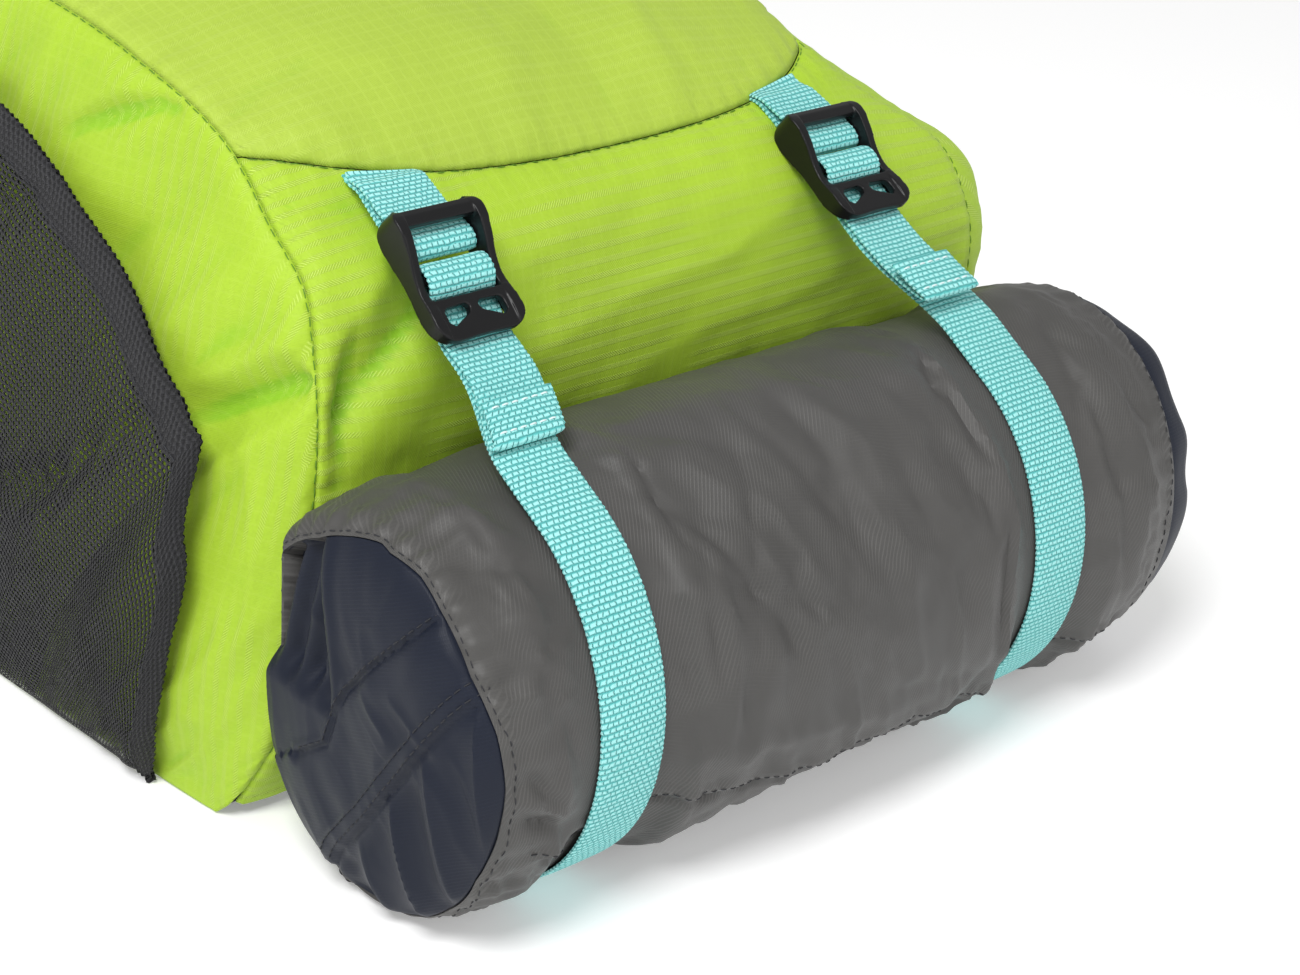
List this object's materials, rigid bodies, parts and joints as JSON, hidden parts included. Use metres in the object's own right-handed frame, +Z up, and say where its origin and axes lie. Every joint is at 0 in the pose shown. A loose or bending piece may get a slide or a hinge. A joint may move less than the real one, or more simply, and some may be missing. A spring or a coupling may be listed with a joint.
{
  "type": "hiking backpack with strapped gear roll",
  "caption": "Soft hiking backpack lying on its back, with mesh side pockets and a cloth gear roll lashed under its base by webbing straps with ladder-lock buckles.",
  "frame": {"origin": "on the floor under the centre of the bounding box, with the pack lying on its back as in the picture", "axes": "+Y towards the pack's top end, +Z up through its front panel, +X across the pack, so that the gear roll lies along X at the -Y end"},
  "size_m": [0.2948, 0.562, 0.2001],
  "materials": {
    "lime_cloth": "lime green ripstop cloth with a soft sheen",
    "pale_lime_cloth": "paler lime ripstop cloth",
    "charcoal_mesh": "open charcoal knitted mesh with a doubled hem",
    "turquoise_webbing": "ribbed turquoise webbing",
    "grey_cloth": "warm grey fine ripstop with a slight sheen",
    "navy_cloth": "navy twill with stitched tucks",
    "black_plastic": "satin black moulded plastic",
    "dark_padding": "dark padded cloth"
  },
  "bodies": {
    "root": {"front_upper_panel": "pale_lime_cloth", "front_lower_panel": "lime_cloth", "side_panel_left": "lime_cloth", "side_panel_right": "lime_cloth", "top_lid": "pale_lime_cloth", "back_panel": "dark_padding", "side_pocket_left": "charcoal_mesh", "side_pocket_right": "charcoal_mesh", "roll_body": "grey_cloth", "roll_end_left": "navy_cloth", "roll_end_right": "navy_cloth", "lashing_strap_left": "turquoise_webbing", "lashing_strap_right": "turquoise_webbing", "buckle_tab_left": "turquoise_webbing", "buckle_tab_right": "turquoise_webbing", "buckle_left": "black_plastic", "buckle_right": "black_plastic", "shoulder_strap_left": "dark_padding", "shoulder_strap_right": "dark_padding", "shoulder_webbing_left": "turquoise_webbing", "shoulder_webbing_right": "turquoise_webbing", "shoulder_adjuster_left": "black_plastic", "shoulder_adjuster_right": "black_plastic", "haul_loop": "turquoise_webbing"}
  },
  "joints": []
}
